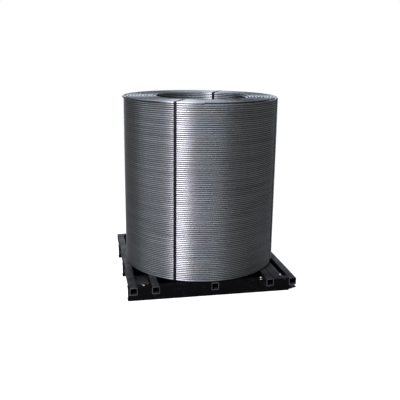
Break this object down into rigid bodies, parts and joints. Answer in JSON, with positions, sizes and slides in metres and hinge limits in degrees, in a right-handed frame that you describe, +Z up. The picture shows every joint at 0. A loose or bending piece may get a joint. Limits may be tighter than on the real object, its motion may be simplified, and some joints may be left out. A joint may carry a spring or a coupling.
{
  "type": "strapped coil of steel-sheathed cored wire on a steel pallet",
  "caption": "Upright layer-wound coil of steel-sheathed flux-cored wire, strapped round its section with black steel straps and standing on a welded black steel pallet.",
  "frame": {"origin": "on the floor, under the middle of the pallet's outline", "axes": "+Z up along the coil's eye, -Y the pallet's front, where the tubes' open ends show, +X to the right seen from the front"},
  "size_m": [1.144, 1.156, 1.2611],
  "materials": {
    "wire_sheath": "cold-rolled steel sheath, satin, dull grey",
    "strap_steel": "black lacquered steel strapping",
    "pallet_paint": "black paint on rolled steel, worn grey on top"
  },
  "bodies": {
    "root": {"wire_coil": "wire_sheath", "strap_1": "strap_steel", "strap_seal_1": "strap_steel", "strap_2": "strap_steel", "strap_seal_2": "strap_steel", "strap_3": "strap_steel", "strap_seal_3": "strap_steel", "strap_4": "strap_steel", "strap_seal_4": "strap_steel", "left_outer_tube": "pallet_paint", "left_inner_tube": "pallet_paint", "centre_tube": "pallet_paint", "right_inner_tube": "pallet_paint", "right_outer_tube": "pallet_paint", "front_rail": "pallet_paint", "second_rail": "pallet_paint", "third_rail": "pallet_paint", "rear_rail": "pallet_paint", "deck_plate": "pallet_paint", "foot_plate": "pallet_paint"}
  },
  "joints": []
}
